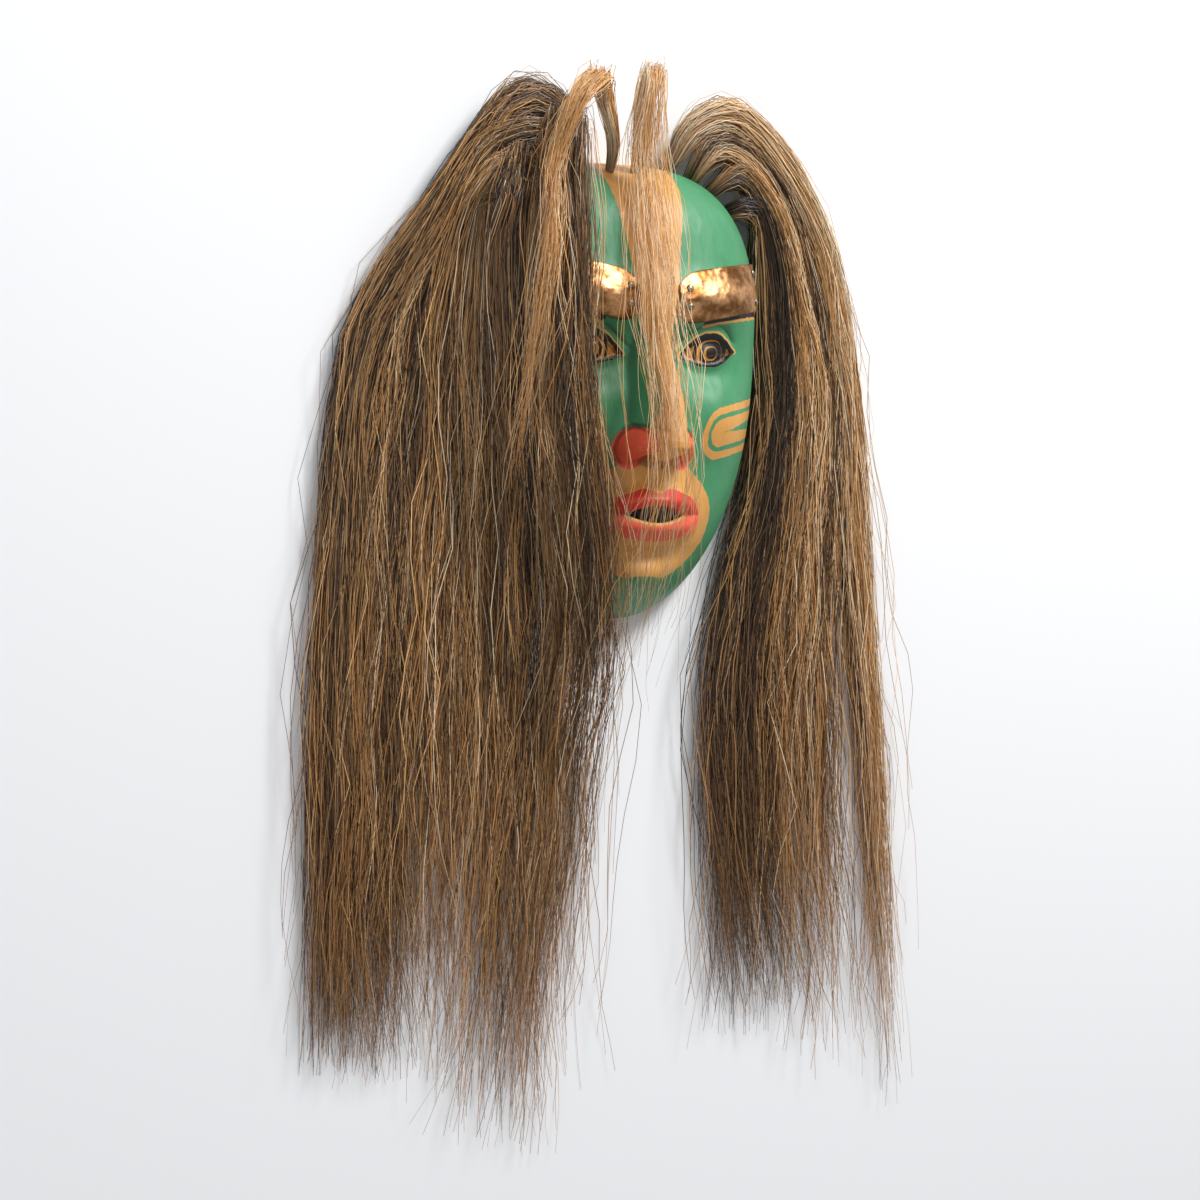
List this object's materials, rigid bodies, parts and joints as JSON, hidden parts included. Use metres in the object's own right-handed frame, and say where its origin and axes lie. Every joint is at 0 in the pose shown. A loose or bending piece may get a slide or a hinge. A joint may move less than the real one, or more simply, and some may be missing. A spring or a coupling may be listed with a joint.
{
  "type": "carved face mask",
  "caption": "Carved and painted wooden face mask, hollow at the back, with copper brow plates held by dome nails and long horsehair set round the top edge.",
  "frame": {"origin": "middle of the part's footprint, on the ground it lies on", "axes": "+Z out of the face, +Y to the forehead, +X to the viewer's right; the mask lies face up on its rim"},
  "size_m": [0.3876, 0.628, 0.1043],
  "materials": {
    "painted_wood": "semi-matt paint",
    "copper": "hammered, tarnished",
    "nail_metal": "dull",
    "brown_hair": "horsehair, low sheen",
    "tan_hair": "horsehair, low sheen"
  },
  "bodies": {
    "root": {"mask": "painted_wood", "brow_plate_left": "copper", "brow_plate_right": "copper", "nail_left_1": "nail_metal", "nail_left_2": "nail_metal", "nail_left_3": "nail_metal", "nail_left_4": "nail_metal", "nail_right_1": "nail_metal", "nail_right_2": "nail_metal", "nail_right_3": "nail_metal", "nail_right_4": "nail_metal", "lock_left_1": "brown_hair", "lock_left_2": "brown_hair", "lock_left_3": "brown_hair", "lock_left_4": "brown_hair", "lock_left_5": "brown_hair", "lock_left_6": "brown_hair", "lock_right_1": "brown_hair", "lock_right_2": "brown_hair", "lock_right_3": "brown_hair", "lock_right_4": "brown_hair", "lock_gold": "tan_hair", "lock_middle": "tan_hair"}
  },
  "joints": []
}
